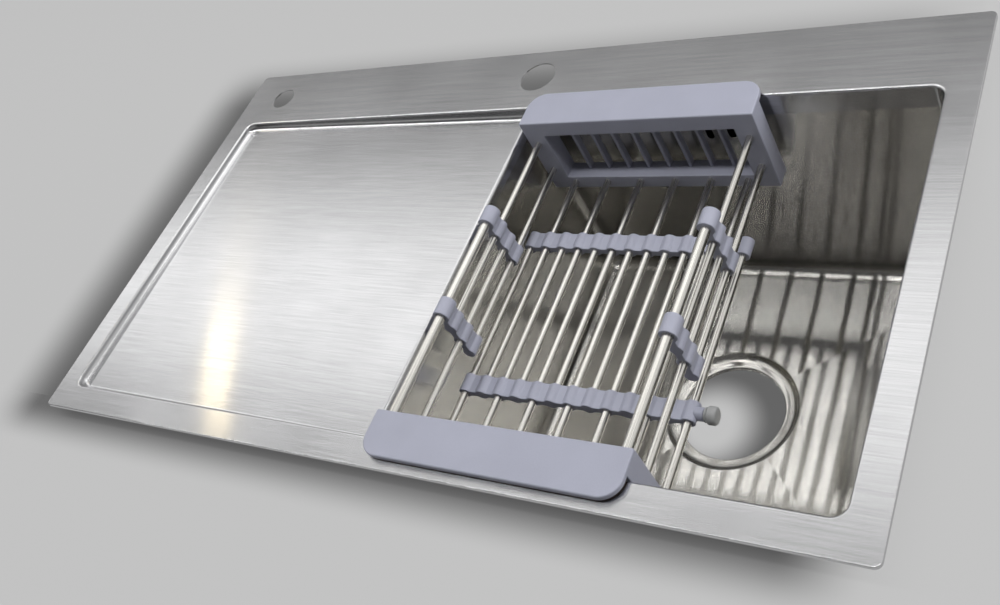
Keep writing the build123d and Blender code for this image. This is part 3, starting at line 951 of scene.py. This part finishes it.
def glowing(tree, level):
    """Light that a card shows of its own, in the picture and in reflections only."""
    path = add(tree, "ShaderNodeLightPath").outputs
    seen = path["Is Camera Ray"]
    for ray in ("Is Glossy Ray", "Is Transmission Ray"):
        seen = add(tree, "ShaderNodeMath", {0: seen, 1: path[ray]}, operation="ADD").outputs[0]
    level = add(tree, "ShaderNodeMath", {0: seen, 1: level}, operation="MULTIPLY").outputs[0]
    return add(tree, "ShaderNodeEmission", {"Strength": level}).outputs[0]


def soft_patch(tree, place, left, right, front, back):
    """1 in a soft-edged rectangle, 0 outside; each pair is where an edge starts and is full."""
    spot = add(tree, "ShaderNodeSeparateXYZ", {0: place}).outputs
    sides = [
        add(
            tree,
            "ShaderNodeMapRange",
            {"Value": spot[axis], "From Min": start, "From Max": full},
            interpolation_type="SMOOTHSTEP",
        ).outputs[0]
        for axis, (start, full) in (("X", left), ("X", right), ("Y", front), ("Y", back))
    ]
    inside = sides[0]
    for side in sides[1:]:
        inside = add(tree, "ShaderNodeMath", {0: inside, 1: side}, operation="MULTIPLY").outputs[0]
    return inside


def pale_card(tree, shade):
    """Matt card surface that shows its own light, less of it where a shadow is painted on it."""
    level = add(
        tree, "ShaderNodeMapRange", {"Value": shade, "To Min": floor_glow, "To Max": shade_glow}
    ).outputs[0]
    colour = (floor_albedo, floor_albedo, floor_albedo, 1)
    matt = add(tree, "ShaderNodeBsdfDiffuse", {"Color": colour}).outputs[0]
    return add(tree, "ShaderNodeAddShader", {0: glowing(tree, level), 1: matt}).outputs[0]


floor_card, tree = new_material("pale floor card")
place = add(tree, "ShaderNodeTexCoord").outputs["Object"]
shade = soft_patch(tree, place, shade_left, shade_right, shade_front, shade_back)
floor_z = cad_bounds[0].z - floor_gap
corners = [(x * floor_half, y * floor_half) for x, y in ((-1, -1), (1, -1), (1, 1), (-1, 1))]
card("floor", corners, floor_z, pale_card(tree, shade), tree, floor_card)

# Worktop: a second sheet of the same card before and beside the bowl, level with the rim's seal.
# It hides the bowl's outside from the photograph's place and fades out into the floor.
sheet_z = -18 * mm
sheet_gap = 6 * mm
sheet_left = (-500 * mm, -400 * mm)
sheet_right = (1100 * mm, 800 * mm)
sheet_front = (-950 * mm, -600 * mm)
sheet_back = (420 * mm, 280 * mm)
# A painted shadow darkens it under the sink and softly just beyond the rim; these are where its
# edges start and are full.
rim_shadow_left = (-480 * mm, -420 * mm)
rim_shadow_right = (365 * mm, 310 * mm)
rim_shadow_front = (-248 * mm, -205 * mm)
rim_shadow_back = (300 * mm, 200 * mm)
sheet_card, tree = new_material("pale worktop card")
place = add(tree, "ShaderNodeTexCoord").outputs["Object"]
shade = soft_patch(tree, place, rim_shadow_left, rim_shadow_right, rim_shadow_front, rim_shadow_back)
kept = soft_patch(tree, place, sheet_left, sheet_right, sheet_front, sheet_back)
clear = add(tree, "ShaderNodeBsdfTransparent").outputs[0]
solid = pale_card(tree, shade)
surface = add(tree, "ShaderNodeMixShader", {0: kept, 1: clear, 2: solid}).outputs[0]
bowl_low, bowl_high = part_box("bowl")
inner_x = bowl_high.x + sheet_gap
inner_y = bowl_low.y - sheet_gap
corners = [
    (sheet_left[0], sheet_front[0]),
    (sheet_right[0], sheet_front[0]),
    (sheet_right[0], sheet_back[0]),
    (inner_x, sheet_back[0]),
    (inner_x, inner_y),
    (sheet_left[0], inner_y),
]
worktop = card("worktop", corners, sheet_z, surface, tree, sheet_card)
worktop.visible_shadow = False
worktop.visible_diffuse = False
worktop.visible_glossy = False

# Waste shade: the patch of floor that shows through the waste hole. A disc of pale card that glows,
# with a painted shadow that darkens it towards the right and the back.
patch_r = 60 * mm
patch_sides = 48
patch_lift = 0.1 * mm
patch_z = floor_z + patch_lift
patch_focus = (150 * mm, -22 * mm, patch_z)
patch_light = 15 * mm
patch_dark = 53 * mm
patch_levels = (0.53, 0.13)
patch_card, tree = new_material("shaded floor card")
place = add(tree, "ShaderNodeTexCoord").outputs["Object"]
offset = add(tree, "ShaderNodeVectorMath", {0: place, 1: patch_focus}, operation="DISTANCE")
level = add(
    tree,
    "ShaderNodeMapRange",
    {
        "Value": offset.outputs["Value"],
        "From Min": patch_light,
        "From Max": patch_dark,
        "To Min": patch_levels[0],
        "To Max": patch_levels[1],
    },
    interpolation_type="SMOOTHSTEP",
).outputs[0]
corners = circle(patch_r, patch_sides, seat_place)
card("waste_shade", corners, patch_z, glowing(tree, level), tree, patch_card)

# Lamps: a long soft strip hangs behind the sink, a tube on the ceiling and a fill at the right.
# These are white; a small warm lamp at the left draws the streak on the drainer.
white = "#FFFFFF"
warm = "#FFE9B8"


def soft_light(name, place, target, width, height, power, colour=white):
    """Rectangular lamp that faces a point."""
    lamp = bpy.data.lights.new(name, "AREA")
    lamp.shape = "RECTANGLE"
    lamp.size = width
    lamp.size_y = height
    lamp.energy = power
    lamp.color = linear(colour)[:3]
    rig = bpy.data.objects.new(name, lamp)
    rig.visible_camera = False
    bpy.context.scene.collection.objects.link(rig)
    facing = (Vector(target) - Vector(place)).to_track_quat("-Z", "Y")
    rig.matrix_world = Matrix.Translation(place) @ facing.to_matrix().to_4x4()
    return rig


soft_light(
    "strip light",
    place=(-1.1, 0.69, 1.2),
    target=(-1.1, 0.0, 0.0),
    width=3.4,
    height=0.5,
    power=7.8,
)
soft_light(
    "ceiling tube",
    place=(-0.6, -0.2, 2.0),
    target=(-0.6, -0.2, 0.0),
    width=4.4,
    height=0.19,
    power=31.0,
)
fill = soft_light(
    "right fill",
    place=(1.0, 0.45, 0.55),
    target=(0.1, 0.1, 0.0),
    width=0.8,
    height=0.8,
    power=6.0,
)
fill.visible_glossy = False
soft_light(
    "warm lamp",
    place=(-1.03, 0.19, 0.7),
    target=(-0.17, -0.16, 0.0),
    width=0.006,
    height=0.06,
    power=0.06,
    colour=warm,
)

# Sky: the plain room round the sink, which the steel mirrors.
# It is dim in front, lighter behind and lightest at the right, over an even band at eye level.
front_level = 0.07
back_level = 0.30
right_level = 0.9
horizon_level = 0.54
right_span = (-0.1, 0.45)
back_span = (-0.5, 0.5)
height_span = (0.1, 0.4)
world = bpy.data.worlds.new("studio")
bpy.context.scene.world = world
world.use_nodes = True
tree = world.node_tree
tree.nodes.clear()
way = add(tree, "ShaderNodeTexCoord").outputs["Generated"]
parts = add(tree, "ShaderNodeSeparateXYZ", {0: way}).outputs
back = add(
    tree,
    "ShaderNodeMapRange",
    {
        "Value": parts["X"],
        "From Min": right_span[0],
        "From Max": right_span[1],
        "To Min": back_level,
        "To Max": right_level,
    },
    interpolation_type="SMOOTHSTEP",
).outputs[0]
wall = add(
    tree,
    "ShaderNodeMapRange",
    {
        "Value": parts["Y"],
        "From Min": back_span[0],
        "From Max": back_span[1],
        "To Min": front_level,
        "To Max": back,
    },
    interpolation_type="SMOOTHSTEP",
).outputs[0]
height = add(
    tree,
    "ShaderNodeMapRange",
    {"Value": parts["Z"], "From Min": height_span[0], "From Max": height_span[1]},
    interpolation_type="SMOOTHSTEP",
).outputs[0]
level = add(tree, "ShaderNodeMix", {0: height, 2: horizon_level, 3: wall}).outputs[0]
sky = add(tree, "ShaderNodeBackground", {"Color": (1, 1, 1, 1), "Strength": level}).outputs[0]
add(tree, "ShaderNodeOutputWorld", {"Surface": sky})

# Camera: stands in front of the sink's right end and looks down at it, tilted to one side.
# Its place, turn, lens and shift are fitted to the rim's corners in the photograph.
camera_place = Vector((0.53705, -0.44947, 0.57401))
camera_right = Vector((0.79805, 0.39242, -0.45731))
camera_up = Vector((-0.01405, 0.77081, 0.63691))
camera = bpy.data.cameras.new("camera")
camera.lens = 39.55
camera.sensor_width = 36.0
camera.sensor_fit = "HORIZONTAL"
camera.shift_x = 0.0507
camera.shift_y = -0.0816
eye = bpy.data.objects.new("camera", camera)
bpy.context.scene.collection.objects.link(eye)
turn = Matrix((camera_right, camera_up, camera_right.cross(camera_up))).transposed()
eye.matrix_world = Matrix.Translation(camera_place) @ turn.to_4x4()
bpy.context.scene.camera = eye
bpy.context.scene.view_settings.view_transform = "Standard"
